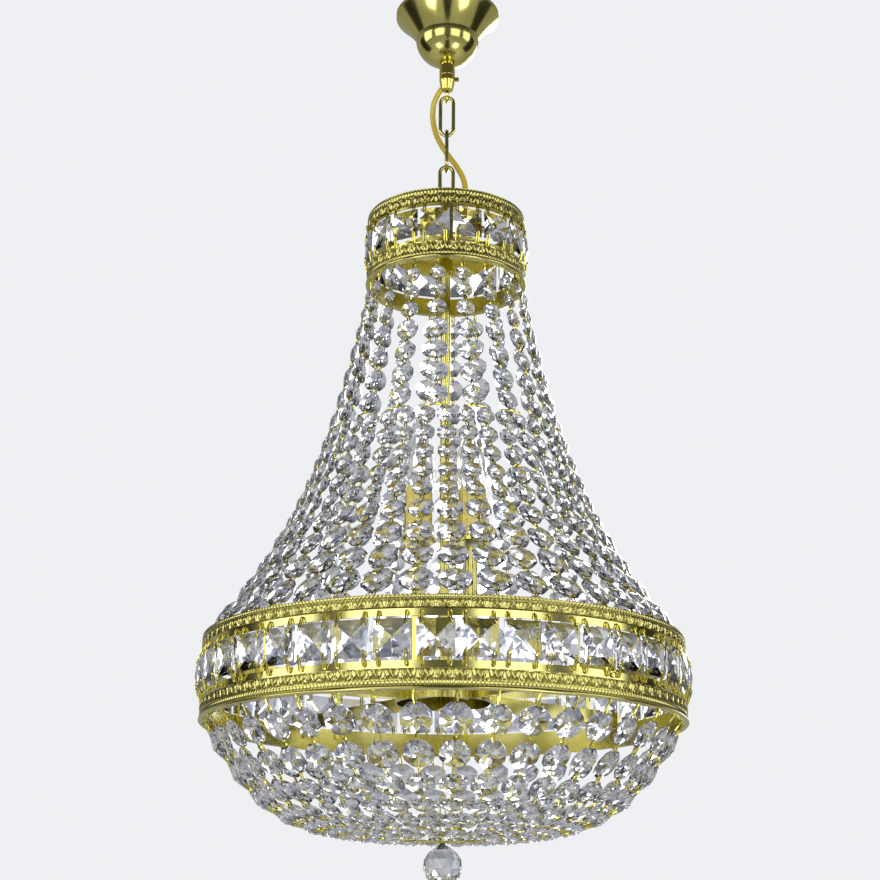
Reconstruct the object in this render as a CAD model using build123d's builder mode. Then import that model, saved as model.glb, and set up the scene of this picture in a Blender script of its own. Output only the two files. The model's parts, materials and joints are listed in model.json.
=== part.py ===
import os
from math import atan2, cos, degrees, hypot, pi, radians, sin, sqrt, tan

from build123d import *

os.makedirs("parts", exist_ok=True)

# Crystal basket ceiling light. Lengths are in millimetres and angles in degrees.
# Z is 0 at the ceiling and falls towards the floor.
# Azimuths run about Z: 0 is the front (-Y), 90 the right (+X).

# Clearances
running_gap = 0.3
thread_gap = 0.1
seat_gap = 0.2
slant_gap = 0.6
fork_gap = 1.0
fork_share = 0.12

# Ceiling fixing
bracket_length = 92.0
bracket_width = 20.0
bracket_thick = 2.0
bracket_drop = 9.0
bracket_middle = 42.0
bracket_ramp = 6.0
bracket_hole_spacing = 76.0
bracket_hole_radius = 2.6
tube_radius = 5.0
tube_bore = 4.0
nut_flats = 14.0
nut_height = 5.0
terminal_length = 20.0
terminal_width = 15.0
terminal_height = 17.0
canopy_radius = 57.0
canopy_height = 60.0
canopy_wall = 1.0
canopy_rim_height = 4.0
canopy_flare_bow = -1.2
canopy_crease_radius = 34.5
canopy_crease_depth = 30.0
canopy_dome_bow = 7.0
canopy_floor_radius = 12.0
collar_radius = 8.5
collar_height = 17.0
nipple_height = 16.5
nipple_eye_seat = 1.5
nipple_foot_radius = 6.5
nipple_thread = 5.0
set_screw_radius = 1.5
set_screw_head_radius = 2.5
set_screw_reach = 12.8

# Chain and cord
wire_radius = 2.0
eye_radius = 6.5
link_length = 50.5
link_width = 18.2
cord_radius = 3.0
cord_outlet_lean = 35.0
cord_bush_offset = 20.0

# Crown
crown_loop_radius = 7.0
crown_boss_radius = 8.0
crown_boss_height = 12.0
crown_neck = 3.0
crown_hub_radius = 28.0
spider_thick = 2.5
spider_arm_width = 12.0
spider_arms = 4
spider_tab_height = 7.5
crown_plate_drop = 31.0
crown_plate_radius = 56.0
crown_plate_foot_radius = 37.0
crown_plate_step = 3.0
crown_plate_thick = 1.5
crown_plate_nut_flats = 12.0
crown_plate_nut_height = 14.0
crown_radius = 83.0
crown_top_height = 19.0
crown_bottom_height = 20.0
crown_plain = 3.0
crown_rim_above_spider = 6.0
crown_square_count = 16
crown_square_stand = 1.2
crown_square_gap = 2.65
crown_square_margin = 3.4
crown_hook_count = 20
crown_gap_azimuth = 3.4
crown_hook_azimuth = -6.1
band_screw_radius = 1.5
band_screw_head_radius = 2.5

# Bands, for crown and main ring alike
band_wall = 1.2
band_relief = 1.3
band_lip = 2.6
band_lip_roll = 0.9
band_flange = 4.0
strut_width = 4.2
strut_thick = 1.6
pin_width = 1.4
square_thick_front = 3.6
square_thick_back = 5.6
square_table_share = 0.26
square_pin_inset = 4.3

# Main ring
ring_drop_from_crown = 382.0
ring_radius = 236.0
ring_top_height = 19.0
ring_bottom_height = 24.4
ring_plain = 6.8
ring_square_count = 40
ring_square_stand = 3.6
ring_square_gap = 4.2
ring_square_margin = 2.45
ring_gap_azimuth = 2.8
ring_struts = 10

# Lamps
hub_radius = 47.5
hub_wall = 1.5
hub_height = 22.0
hub_plate = 2.0
hub_above_arms = 8.0
arm_below_gap = 1.7
arm_count = 4
arm_height = 14.0
arm_thick = 3.0
arm_tab_height = 25.0
arm_tab_width = 12.0
lamp_count = 4
lamp_radius = 38.0
lamp_azimuth = 47.0
lamp_stem_height = 135.0
lamp_nut_flats = 12.0
lamp_nut_height = 4.0
cup_radius = 17.0
cup_thick = 1.5
cup_wall = 1.2
cup_rim = 3.0
sleeve_radius = 13.5
sleeve_wall = 1.0
sleeve_height = 55.0
holder_radius = 12.0
holder_height = 47.0
holder_socket_depth = 20.0
cap_radius = 6.8
cap_socket_gap = 0.5
cap_height = 25.0
bulb_radius = 17.3
bulb_height = 84.0
bulb_neck_radius = 9.0
bulb_wall = 0.8
lamp_wire_radius = 1.5
end_nut_radius = 6.8
end_nut_height = 15.0
end_nut_drop = 8.0

# Crystal strings: widths across the flats, from the top down, and the wire between neighbours.
# The widths stretch or shrink together so that each string fills its line.
octagon_thick_base = 3.5
octagon_thick_share = 0.25
octagon_table_share = 0.42
tent_first_wire = 10.0
tent_wire = 4.2
tent_last_wire = 7.0
tent_single_widths = [16, 16, 18, 22, 22, 22, 22]
tent_double_small_widths = [18, 18, 18, 18, 18]
tent_double_large_widths = [24, 26, 28, 30]
tent_twist = 4.4
tent_foot_inset = 3.5
tent_shoulder = (110.0, -161.5)
tent_skirt = (145.0, 100.0)
basket_first_wire = 12.0
basket_outer_widths = [28, 27, 24, 20, 17, 15]
basket_outer_wires = [7.0, 7.0, 6.5, 6.0, 5.5, 5.0]
basket_inner_widths = [16, 14, 14]
basket_inner_wire = 4.0
basket_last_wire = 5.7
basket_depth = 106.5
basket_belly = (179.0, -83.0)
basket_floor_reach = 157.0
bottom_ring_radius = 38.0
bottom_ring_wire = 1.0

# Finial
finial_eye_radius = 3.0
finial_eye_wire = 0.8
finial_links = 3
finial_link_wire = 0.7
finial_link_length = 40.8
finial_link_width = 6.4
ball_radius = 19.0
ball_point_height = 22.0
ball_point_slope = 50.0
ball_cap_radius = 2.4
ball_cap_height = 2.0

# Squares fill their rings, and the gaps between the bands fit the squares
crown_square_radius = crown_radius + crown_square_stand
crown_square = 2 * crown_square_radius * sin(pi / crown_square_count) - crown_square_gap
crown_gap_height = crown_square + 2 * crown_square_margin
ring_square_radius = ring_radius + ring_square_stand
ring_square = 2 * ring_square_radius * sin(pi / ring_square_count) - ring_square_gap
ring_gap_height = ring_square + 2 * ring_square_margin

# Heights that follow
canopy_floor = -canopy_height
collar_foot = canopy_floor - collar_height
nipple_foot = collar_foot - nipple_height
eye_centre = nipple_foot + nipple_eye_seat - wire_radius - eye_radius
eye_wire_height = eye_centre - eye_radius
link_span = link_length - 2 * wire_radius
link_step = link_span - 2 * wire_radius - running_gap
link_tops = [eye_wire_height + 2 * wire_radius + running_gap - index * link_step for index in range(3)]
chain_foot = link_tops[2] - link_span
loop_top = chain_foot + 2 * wire_radius + running_gap
loop_centre = loop_top - crown_loop_radius
boss_top = loop_centre - crown_loop_radius - crown_neck
spider_top = boss_top - crown_boss_height
spider_foot = spider_top - spider_thick
crown_top = spider_top + crown_rim_above_spider
crown_gap_top = crown_top - crown_top_height
crown_gap_foot = crown_gap_top - crown_gap_height
crown_foot = crown_gap_foot - crown_bottom_height
plate_top = spider_foot - crown_plate_drop
plate_hub_top = plate_top - crown_plate_step
plate_foot = plate_hub_top - crown_plate_thick
plate_nut_foot = plate_foot - crown_plate_nut_height
ring_top = crown_foot - ring_drop_from_crown
ring_gap_top = ring_top - ring_top_height
ring_gap_foot = ring_gap_top - ring_gap_height
ring_foot = ring_gap_foot - ring_bottom_height
arm_foot = ring_gap_foot - arm_below_gap
arm_top = arm_foot + arm_height
hub_top = arm_top + hub_above_arms
hub_foot = hub_top - hub_height
cup_top = hub_top + lamp_stem_height
bulb_base = cup_top + sleeve_height - running_gap * 10
tube_top = boss_top - crown_neck - 1.0
end_nut_top = hub_foot + end_nut_drop
end_nut_foot = end_nut_top - end_nut_height
tube_foot = end_nut_foot + 3.0
lead_height = -22.0
wire_height = hub_top - hub_plate - lamp_nut_height - 6.0
finial_eye_centre = end_nut_foot - finial_eye_radius - finial_eye_wire / 2
finial_pivot = finial_eye_centre - finial_eye_radius
basket_foot = ring_foot - basket_depth


# Alignments of a primitive that hangs below its place or stands on it
DOWN = (Align.CENTER, Align.CENTER, Align.MAX)
UP = (Align.CENTER, Align.CENTER, Align.MIN)


def around(radius, azimuth, height):
    """Place at a radius and azimuth, with X pointing down, Y sideways and Z outwards."""
    turn = radians(azimuth)
    outward = Vector(sin(turn), -cos(turn), 0)
    origin = outward * radius + Vector(0, 0, height)
    return Plane(origin=origin, x_dir=(0, 0, -1), z_dir=outward).location


def radial(azimuth):
    """Turn about Z that brings +X to an azimuth."""
    return Rotation(0, 0, azimuth - 90)


def along(line, distance, azimuth):
    """Place on a string's line, with X along the string, Y sideways and Z outwards."""
    point = line.position_at(distance, position_mode=PositionMode.LENGTH)
    course = line.tangent_at(distance, position_mode=PositionMode.LENGTH)
    here = Plane(origin=point, x_dir=course, z_dir=course.cross(Vector(0, 1, 0)))
    return radial(azimuth) * here.location


def evenly(count, first):
    """Azimuths of a count of equal steps round the circle."""
    return [first + 360 / count * index for index in range(count)]


def facet(azimuth, rise, reach):
    """Cutting plane whose normal leans up from the horizontal, at a distance from the centre."""
    level = cos(radians(rise))
    normal = Vector(level * cos(radians(azimuth)), level * sin(radians(azimuth)), sin(radians(rise)))
    return Plane(origin=normal * reach, z_dir=normal)


def save(piece, label):
    """Name a finished piece and write it."""
    piece.label = label
    export_step(piece, f"parts/{label}.step")


def save_group(pieces, label):
    """Write separate solids of one kind as one node."""
    save(Compound(children=pieces), label)


def cut_octagon(width):
    """Eight-sided crystal in the XY plane, bevelled from a sharp edge to a table on both faces."""
    half = (octagon_thick_base + octagon_thick_share * width) / 2
    bevel = width / 2 * (1 - octagon_table_share)
    rise = degrees(atan2(bevel, half))
    with BuildPart() as crystal:
        Box(2 * width, 2 * width, half, align=UP)
        for azimuth in evenly(8, 0):
            split(bisect_by=facet(azimuth, rise, width / 2 * cos(radians(rise))), keep=Keep.BOTTOM)
        mirror(about=Plane.XY)
    return crystal.part


def cut_square(width):
    """Square crystal in the XY plane, with a low pyramid in front (+Z) and a deeper one behind."""
    table = width * square_table_share
    inset = (width - table) / 2
    with BuildPart() as crystal:
        for depth, turn in ((square_thick_front, 90), (square_thick_back, -90)):
            with Locations(Rotation(turn, 0, 0)):
                Wedge(
                    width, depth, width, inset, inset, width - inset, width - inset,
                    align=(Align.CENTER, Align.MIN, Align.CENTER),
                )
    return crystal.part


def cut_ball(radius, point_height):
    """Faceted ball drawn up to a blunt point, with a small table at the top and bottom."""
    rows = [(-54, 8), (-18, 12), (18, 12), (ball_point_slope, 8)]
    with BuildPart() as ball:
        with Locations((0, 0, -radius)):
            Box(2 * radius, 2 * radius, radius + point_height, align=UP)
        for index, (rise, count) in enumerate(rows):
            for azimuth in evenly(count, 180 / count * (index % 2)):
                split(bisect_by=facet(azimuth, rise, radius * 0.97), keep=Keep.BOTTOM)
    return ball.part


def wire_link(length, width, radius, plane):
    """Long oval link of round wire whose top wire runs through the plane's origin."""
    bend = width / 2 - radius
    straight = length - 2 * radius - 2 * bend
    with BuildPart() as link:
        with BuildLine(plane) as path:
            Line((bend, -bend), (bend, -bend - straight))
            ThreePointArc((bend, -bend - straight), (0, -2 * bend - straight), (-bend, -bend - straight))
            Line((-bend, -bend - straight), (-bend, -bend))
            ThreePointArc((-bend, -bend), (0, 0), (bend, -bend))
        with BuildSketch(path.line ^ 0):
            Circle(radius)
        sweep(path=path.line)
    return link.part


def hex_nut(flats, height, bore):
    """Hexagon nut standing on the XY plane."""
    with BuildPart() as nut:
        with BuildSketch():
            RegularPolygon(flats / 2, 6, major_radius=False)
            Circle(bore, mode=Mode.SUBTRACT)
        extrude(amount=height)
    return nut.part


def pipe(radius, bore, top, foot):
    """Upright pipe on the Z axis."""
    with BuildPart() as tube:
        with BuildSketch(Plane.XY.offset(foot)):
            Circle(radius)
            Circle(bore, mode=Mode.SUBTRACT)
        extrude(amount=top - foot)
    return tube.part


def turned(points):
    """Solid of revolution about Z with a straight-sided profile of (radius, height) points."""
    with BuildPart() as piece:
        with BuildSketch(Plane.XZ):
            with BuildLine():
                Polyline(*points, close=True)
            make_face()
        revolve(axis=Axis.Z)
    return piece.part


def bowed(start, end, bow):
    """Middle of an arc that bows outward from the straight line between two (radius, height) points."""
    run, rise = end[0] - start[0], end[1] - start[1]
    share = bow / hypot(run, rise)
    return ((start[0] + end[0]) / 2 - rise * share, (start[1] + end[1]) / 2 + run * share)


def top_band(radius, top, height, plain_height):
    """Band with a plain strip below, a raised strip above and a flange turned in at the top."""
    inside = radius - band_wall
    plain = top - height + plain_height
    return turned(
        [
            (inside, top - height), (radius, top - height), (radius, plain), (radius + band_relief, plain),
            (radius + band_relief, top), (inside - band_flange, top), (inside - band_flange, top - band_wall),
            (inside, top - band_wall),
        ]
    )


def bottom_band(radius, top, height, plain_height):
    """Band with a plain strip above, a raised strip, a rolled lip and a flange turned in at the foot."""
    inside = radius - band_wall
    plain = top - plain_height
    foot = top - height
    lip_start = (radius + band_relief, foot + band_lip)
    with BuildPart() as band:
        with BuildSketch(Plane.XZ):
            with BuildLine():
                Polyline(
                    (radius, foot), (inside - band_flange, foot), (inside - band_flange, foot + band_wall),
                    (inside, foot + band_wall), (inside, top), (radius, top), (radius, plain),
                    (radius + band_relief, plain), lip_start,
                )
                ThreePointArc(lip_start, (lip_start[0] + band_lip_roll, foot + band_lip / 2), (radius, foot))
            make_face()
        revolve(axis=Axis.Z)
    return band.part


def square_ring(width, count, radius, height, azimuth):
    """Square crystals side by side, the gaps between them at the azimuth and each step from it."""
    step = 360 / count
    return [around(radius, turn + step / 2, height) * cut_square(width) for turn in evenly(count, azimuth)]


def square_pins(width, count, band, radius, gap_top, gap_foot, azimuth):
    """Wires that bridge from each band's edge to the squares' upper and lower edges."""
    height = (gap_top - gap_foot - width) / 2 - 2 * seat_gap
    depth = radius - band + band_wall
    with BuildPart() as pin:
        Box(height, pin_width, depth, align=DOWN)
    pins = []
    for turn in evenly(count, azimuth + 180 / count):
        for side in (-1, 1):
            lean = side * degrees(atan2(width / 2 - square_pin_inset, radius))
            for level in (gap_top - height / 2 - seat_gap, gap_foot + height / 2 + seat_gap):
                pins.append(around(radius + 0.4, turn + lean, level) * pin.part)
    return pins


def struts(count, band, top, foot, azimuth):
    """Upright bars behind the gaps between squares, held inside both bands."""
    with BuildPart() as strut:
        Box(top - foot, strut_width, strut_thick, align=DOWN)
    inside = sqrt((band - band_wall) ** 2 - (strut_width / 2) ** 2) - seat_gap
    return [around(inside, turn, (top + foot) / 2) * strut.part for turn in evenly(count, azimuth)]


def band_screw(grip, reach):
    """Round-headed screw along -Z with its head's underside at the origin."""
    with BuildPart() as screw:
        Cylinder(band_screw_radius, reach, align=DOWN)
        Cylinder(band_screw_head_radius, grip, align=UP)
        fillet(screw.faces().sort_by(Axis.Z)[-1].edges(), radius=grip * 0.6)
    return screw.part


def string_pin(start, end, outward):
    """Straight wire between two crystals' edges, with its seat gaps."""
    course = end - start
    length = course.length - 2 * seat_gap
    square_to_course = outward - course * (outward.dot(course) / course.length**2)
    middle = Plane(origin=(start + end) / 2, x_dir=course, z_dir=square_to_course)
    with BuildPart() as pin:
        Box(length, pin_width, pin_width)
    return middle.location * pin.part


def edge_point(place, offset):
    """Point on a string, offset along it from a crystal's place."""
    return (place * Location((offset, 0, 0))).position


def outward_at(place):
    """Outward direction of a crystal's place."""
    return (place * Location((0, 0, 1))).position - place.position


# Ceiling fixing

tube_hole = tube_radius + thread_gap

with BuildPart() as ceiling_bracket:
    half_length = bracket_length / 2
    half_middle = bracket_middle / 2
    top_line = [
        (-half_length, 0), (-half_middle - bracket_ramp, 0), (-half_middle, -bracket_drop),
        (half_middle, -bracket_drop), (half_middle + bracket_ramp, 0), (half_length, 0),
    ]
    foot_line = [(x, z - bracket_thick) for x, z in reversed(top_line)]
    with BuildSketch(Plane.XZ):
        with BuildLine():
            Polyline(*top_line, *foot_line, close=True)
        make_face()
    extrude(amount=bracket_width / 2, both=True)
    with Locations(Plane.XY):
        Hole(tube_hole)
    with GridLocations(bracket_hole_spacing, 0, 2, 1):
        Hole(bracket_hole_radius)
save(ceiling_bracket.part, "ceiling_bracket")

bracket_floor = -bracket_drop - bracket_thick
hanger_top = -bracket_drop + nut_height + 1
hanger_foot = collar_foot - nipple_thread
with BuildPart() as hanger_tube:
    add(pipe(tube_radius, tube_bore, hanger_top, hanger_foot))
    with Locations((tube_radius / 2, 0, lead_height)):
        Box(tube_radius + 2, 2 * cord_radius + 1, 2 * cord_radius + 2, mode=Mode.SUBTRACT)
save(hanger_tube.part, "hanger_tube")

hanger_nut = hex_nut(nut_flats, nut_height, tube_hole)
save_group(
    [Pos(0, 0, -bracket_drop) * hanger_nut, Pos(0, 0, bracket_floor - nut_height) * hanger_nut], "hanger_nuts"
)

terminal_start = nut_flats / 2 + 3.5
with BuildPart() as terminal_block:
    with Locations((terminal_start + terminal_length / 2, 0, bracket_floor)):
        Box(terminal_length, terminal_width, terminal_height, align=DOWN)
    chamfer(terminal_block.edges().filter_by(Axis.Z), length=1)
    with Locations((terminal_start + terminal_length / 2, 0, bracket_floor - terminal_height)):
        with GridLocations(terminal_length / 3, 0, 3, 1):
            Cylinder(1.6, 4, mode=Mode.SUBTRACT)
save(terminal_block.part, "terminal_block")

# The cord runs from the terminal block down the hanger tube and leaves the loop nipple to the left.
outlet_lean = radians(cord_outlet_lean)
outlet_bend = hanger_foot - 2.0
outlet_height = nipple_foot
outlet_x = -(outlet_bend - outlet_height) * tan(outlet_lean)
lead_end = (outlet_x + 2 * seat_gap * sin(outlet_lean), 0, outlet_height + 2 * seat_gap * cos(outlet_lean))
lead_points = [(terminal_start, 0, lead_height), (0, 0, lead_height), (0, 0, outlet_bend), lead_end]
with BuildPart() as lead_in_cord:
    with BuildLine() as lead_path:
        FilletPolyline(*lead_points, radius=[2 * cord_radius, 8.0])
    with BuildSketch(lead_path.line ^ 0):
        Circle(cord_radius)
    sweep(path=lead_path.line)
save(lead_in_cord.part, "lead_in_cord")

with BuildPart() as canopy_cup:
    for wall, shape_mode in ((0, Mode.ADD), (canopy_wall, Mode.SUBTRACT)):
        rim_foot = (canopy_radius - wall, -canopy_rim_height)
        crease = (canopy_crease_radius - wall, -canopy_crease_depth)
        floor = (canopy_floor_radius, canopy_floor + wall)
        with BuildSketch(Plane.XZ):
            with BuildLine():
                Polyline(floor, (0, floor[1]), (0, 0), (canopy_radius - wall, 0), rim_foot)
                ThreePointArc(rim_foot, bowed(rim_foot, crease, canopy_flare_bow), crease)
                ThreePointArc(crease, bowed(crease, floor, canopy_dome_bow), floor)
            make_face()
        revolve(axis=Axis.Z, mode=shape_mode)
    with Locations((0, 0, canopy_floor)):
        Cylinder(tube_hole, 4 * canopy_wall, mode=Mode.SUBTRACT)
save(canopy_cup.part, "canopy_cup")

with BuildPart() as canopy_collar:
    add(pipe(collar_radius, tube_hole, canopy_floor, collar_foot))
    fillet(canopy_collar.edges().filter_by(GeomType.CIRCLE).group_by(SortBy.RADIUS)[-1], radius=0.8)
save(canopy_collar.part, "canopy_collar")

screw_height = (collar_foot + hanger_foot) / 2 - 0.5
with BuildPart() as loop_nipple:
    with BuildSketch(Plane.XZ):
        with BuildLine():
            Polyline(
                (0, collar_foot), (collar_radius, collar_foot), (collar_radius, collar_foot - 6),
                (nipple_foot_radius, nipple_foot), (0, nipple_foot), close=True,
            )
        make_face()
    revolve(axis=Axis.Z)
    with Locations((0, 0, eye_centre)):
        Torus(eye_radius, wire_radius, rotation=(0, 90, 0))
    with Locations((0, 0, collar_foot)):
        Cylinder(tube_hole, nipple_thread, align=DOWN, mode=Mode.SUBTRACT)
    with Locations((0, 0, collar_foot - nipple_thread)):
        Cylinder(tube_bore, 2.0, align=DOWN, mode=Mode.SUBTRACT)
    outlet_start = Vector(sin(outlet_lean), 0, cos(outlet_lean)) * 2.4 + Vector(0, 0, outlet_bend)
    with Locations(Location(outlet_start, (0, cord_outlet_lean, 0))):
        Cylinder(cord_radius + 0.4, 30, align=DOWN, mode=Mode.SUBTRACT)
    with Locations(Location((tube_hole - 1, 0, screw_height), (0, 90, 0))):
        Cylinder(set_screw_radius + 0.05, 10, align=UP, mode=Mode.SUBTRACT)
save(loop_nipple.part, "loop_nipple")

with BuildPart() as nipple_set_screw:
    with Locations(Location((tube_radius + seat_gap, 0, screw_height), (0, 90, 0))):
        Cylinder(set_screw_radius, collar_radius - tube_radius + 1, align=UP)
    with Locations(Location((collar_radius + seat_gap, 0, screw_height), (0, 90, 0))):
        Cylinder(set_screw_head_radius, set_screw_reach - collar_radius - seat_gap, align=UP)
save(nipple_set_screw.part, "nipple_set_screw")

# Chain links, alternately across and along the view

link_names = ["chain_link_upper", "chain_link_middle", "chain_link_lower"]
link_x_dirs = [(1, 0, 0), (0, 1, 0), (1, 0, 0)]
for name, top, x_dir in zip(link_names, link_tops, link_x_dirs):
    sideways = Vector(*x_dir)
    link_plane = Plane(origin=(0, 0, top), x_dir=sideways, z_dir=sideways.cross(Vector(0, 0, 1)))
    save(wire_link(link_length, link_width, wire_radius, link_plane), name)

# Supply cord: it leaves the nipple to the left, passes behind the chain and comes down at the right.
bush_top = spider_top + 2.0
cord_points = [
    (outlet_x, 0, outlet_height),
    (-13.5, 1.0, -103.5),
    (-16.5, 6.0, -121.0),
    (-12.5, 14.5, -141.0),
    (-1.0, 19.0, -160.0),
    (11.5, 15.5, -179.0),
    (19.0, 7.0, -198.0),
    (21.0, 1.0, -217.0),
    (cord_bush_offset, 0, -236.0),
    (cord_bush_offset, 0, bush_top),
]
cord_radii = []
for before, corner, after in zip(cord_points, cord_points[1:], cord_points[2:]):
    first_run = Vector(*corner) - Vector(*before)
    next_run = Vector(*after) - Vector(*corner)
    half_turn = radians(first_run.get_angle(next_run) / 2)
    cord_radii.append(0.45 * min(first_run.length, next_run.length) / tan(half_turn))
print("cord radii", [round(radius, 1) for radius in cord_radii])
with BuildPart() as supply_cord:
    with BuildLine() as cord_path:
        FilletPolyline(*cord_points, radius=cord_radii)
    with BuildSketch(cord_path.line ^ 0):
        Circle(cord_radius)
    sweep(path=cord_path.line)
cord_length = cord_path.wires()[0].length
section_volume = pi * cord_radius**2 * cord_length
print("cord length", round(cord_length, 1))
print("cord volume", round(supply_cord.part.volume), "section times length", round(section_volume))
save(supply_cord.part, "supply_cord")

# Crown

crown_screw_height = crown_top - 10.0
tab_radius = sqrt((crown_radius - band_wall) ** 2 - (spider_arm_width / 2) ** 2) - seat_gap
screw_hole = band_screw_radius + thread_gap

with BuildPart() as crown_loop:
    with Locations((0, 0, loop_centre)):
        Torus(crown_loop_radius, wire_radius, rotation=(0, 90, 0))
    with Locations((0, 0, boss_top)):
        Cylinder(1.6 * wire_radius, 2 * crown_neck, align=(Align.CENTER, Align.CENTER, Align.CENTER))
        Cylinder(crown_boss_radius, crown_boss_height, align=DOWN)
    with Locations((0, 0, spider_top)):
        Cylinder(tube_hole, tube_top - spider_top, align=UP, mode=Mode.SUBTRACT)
save(crown_loop.part, "crown_loop")

spider_azimuths = evenly(spider_arms, crown_gap_azimuth)
with BuildPart() as crown_spider:
    with BuildSketch(Plane.XY.offset(spider_foot)):
        Circle(crown_hub_radius)
        with Locations(*[radial(turn) * Location((tab_radius / 2, 0, 0)) for turn in spider_azimuths]):
            Rectangle(tab_radius, spider_arm_width)
        Circle(tube_hole, mode=Mode.SUBTRACT)
        with Locations((cord_bush_offset, 0)):
            Circle(cord_radius + 2.1, mode=Mode.SUBTRACT)
    extrude(amount=spider_thick)
    for turn in spider_azimuths:
        with Locations(around(tab_radius, turn, spider_top)):
            Box(spider_tab_height, spider_arm_width, spider_thick, align=(Align.MIN, Align.CENTER, Align.MAX))
        with Locations(around(tab_radius, turn, crown_screw_height)):
            Cylinder(screw_hole, 12, mode=Mode.SUBTRACT)
save(crown_spider.part, "crown_spider")

bush_foot = spider_foot - 2.0
bush_profile = [
    (cord_radius + running_gap, bush_top), (cord_radius + 4, bush_top), (cord_radius + 4, spider_top),
    (cord_radius + 2, spider_top), (cord_radius + 2, bush_foot), (cord_radius + running_gap, bush_foot),
]
save(Pos(cord_bush_offset, 0, 0) * turned(bush_profile), "crown_cord_bush")

plate_profile = [
    (tube_hole, plate_hub_top),
    (crown_plate_foot_radius - crown_plate_thick - 1, plate_hub_top),
    (crown_plate_foot_radius - crown_plate_thick, plate_top),
    (crown_plate_radius, plate_top),
    (crown_plate_radius, plate_top - crown_plate_thick),
    (crown_plate_foot_radius, plate_top - crown_plate_thick),
    (crown_plate_foot_radius - 1, plate_foot),
    (tube_hole, plate_foot),
]
save(turned(plate_profile), "crown_plate")

with BuildPart() as crown_top_band:
    add(top_band(crown_radius, crown_top, crown_top_height, crown_plain))
    for turn in spider_azimuths:
        with Locations(around(crown_radius, turn, crown_screw_height)):
            Cylinder(screw_hole, 12, mode=Mode.SUBTRACT)
save(crown_top_band.part, "crown_top_band")

save_group(
    [
        around(crown_radius + band_relief + seat_gap, turn, crown_screw_height) * band_screw(1.5, 7.0)
        for turn in spider_azimuths
    ],
    "crown_spider_screws",
)

save(bottom_band(crown_radius, crown_gap_foot, crown_bottom_height, crown_plain), "crown_bottom_band")
crown_middle = (crown_gap_top + crown_gap_foot) / 2
crown_struts = struts(
    spider_arms, crown_radius, crown_gap_top + 4.0, crown_gap_foot - 10.0, crown_gap_azimuth
)
save_group(crown_struts, "crown_struts")
save_group(
    square_ring(crown_square, crown_square_count, crown_square_radius, crown_middle, crown_gap_azimuth),
    "crown_squares",
)
save_group(
    square_pins(
        crown_square, crown_square_count, crown_radius, crown_square_radius, crown_gap_top, crown_gap_foot,
        crown_gap_azimuth,
    ),
    "crown_square_pins",
)

# Middle

cable_bend = bush_foot - 6.7
cable_entry = cable_bend - 19.2
slot_top = cable_bend - 2.0
slot_foot = plate_hub_top + 1.0
with BuildPart() as central_tube:
    add(pipe(tube_radius, tube_bore, tube_top, tube_foot))
    with Locations((tube_radius / 2, 0, (slot_top + slot_foot) / 2)):
        Box(tube_radius + 2, 2 * cord_radius + 1, slot_top - slot_foot, mode=Mode.SUBTRACT)
    for turn in evenly(lamp_count, lamp_azimuth):
        with Locations(around(tube_radius, turn, wire_height)):
            Cylinder(lamp_wire_radius + 0.3, 4, mode=Mode.SUBTRACT)
save(central_tube.part, "central_tube")

tube_nut = hex_nut(nut_flats, nut_height, tube_hole)
plate_nut = hex_nut(crown_plate_nut_flats, crown_plate_nut_height, tube_hole)
tube_nut_feet = [spider_foot - nut_height, hub_top, hub_top - hub_plate - nut_height]
tube_nuts = [Pos(0, 0, foot) * tube_nut for foot in tube_nut_feet]
save_group(tube_nuts + [Pos(0, 0, plate_nut_foot) * plate_nut], "tube_nuts")

cable_points = [
    (cord_bush_offset, 0, bush_top - seat_gap),
    (cord_bush_offset, 0, cable_bend),
    (0, 0, cable_entry),
    (0, 0, wire_height - 3.0),
]
with BuildPart() as lamp_cable:
    with BuildLine() as cable_path:
        FilletPolyline(*cable_points, radius=[15.0, 25.0])
    with BuildSketch(cable_path.line ^ 0):
        Circle(cord_radius)
    sweep(path=cable_path.line)
save(lamp_cable.part, "lamp_cable")

lamp_azimuths = evenly(lamp_count, lamp_azimuth)
with BuildPart() as lamp_hub:
    with BuildSketch(Plane.XY.offset(hub_foot)):
        Circle(hub_radius)
    extrude(amount=hub_height)
    with BuildSketch(Plane.XY.offset(hub_foot)):
        Circle(hub_radius - hub_wall)
    extrude(amount=hub_height - hub_plate, mode=Mode.SUBTRACT)
    with Locations((0, 0, hub_top)):
        Hole(tube_hole, depth=hub_plate)
    with Locations(*[radial(turn) * Location((lamp_radius, 0, hub_top)) for turn in lamp_azimuths]):
        Hole(tube_hole, depth=hub_plate)
save(lamp_hub.part, "lamp_hub")

arm_azimuths = evenly(arm_count, ring_gap_azimuth + 36)
arm_end = sqrt((ring_radius - band_wall) ** 2 - (arm_tab_width / 2) ** 2) - seat_gap
arm_screw_height = ring_gap_foot - ring_plain / 2
with BuildPart() as ring_arm:
    with Locations(Location((hub_radius + seat_gap, 0, arm_top))):
        Box(
            arm_end - hub_radius - seat_gap, arm_thick, arm_height, align=(Align.MIN, Align.CENTER, Align.MAX)
        )
        Box(2, arm_tab_width, arm_height, align=(Align.MIN, Align.CENTER, Align.MAX))
    with Locations((arm_end, 0, arm_top)):
        Box(2, arm_tab_width, arm_tab_height, align=(Align.MAX, Align.CENTER, Align.MAX))
    with Locations(Location((arm_end, 0, arm_screw_height), (0, 90, 0))):
        Cylinder(screw_hole, 12, mode=Mode.SUBTRACT)
save_group([radial(turn) * ring_arm.part for turn in arm_azimuths], "ring_arms")
save_group(
    [around(ring_radius + seat_gap, turn, arm_screw_height) * band_screw(1.5, 7.0) for turn in arm_azimuths],
    "ring_arm_screws",
)


def at_lamps(piece):
    """Copies of a piece at every lamp."""
    return [radial(turn) * Location((lamp_radius, 0, 0)) * piece for turn in lamp_azimuths]


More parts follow.
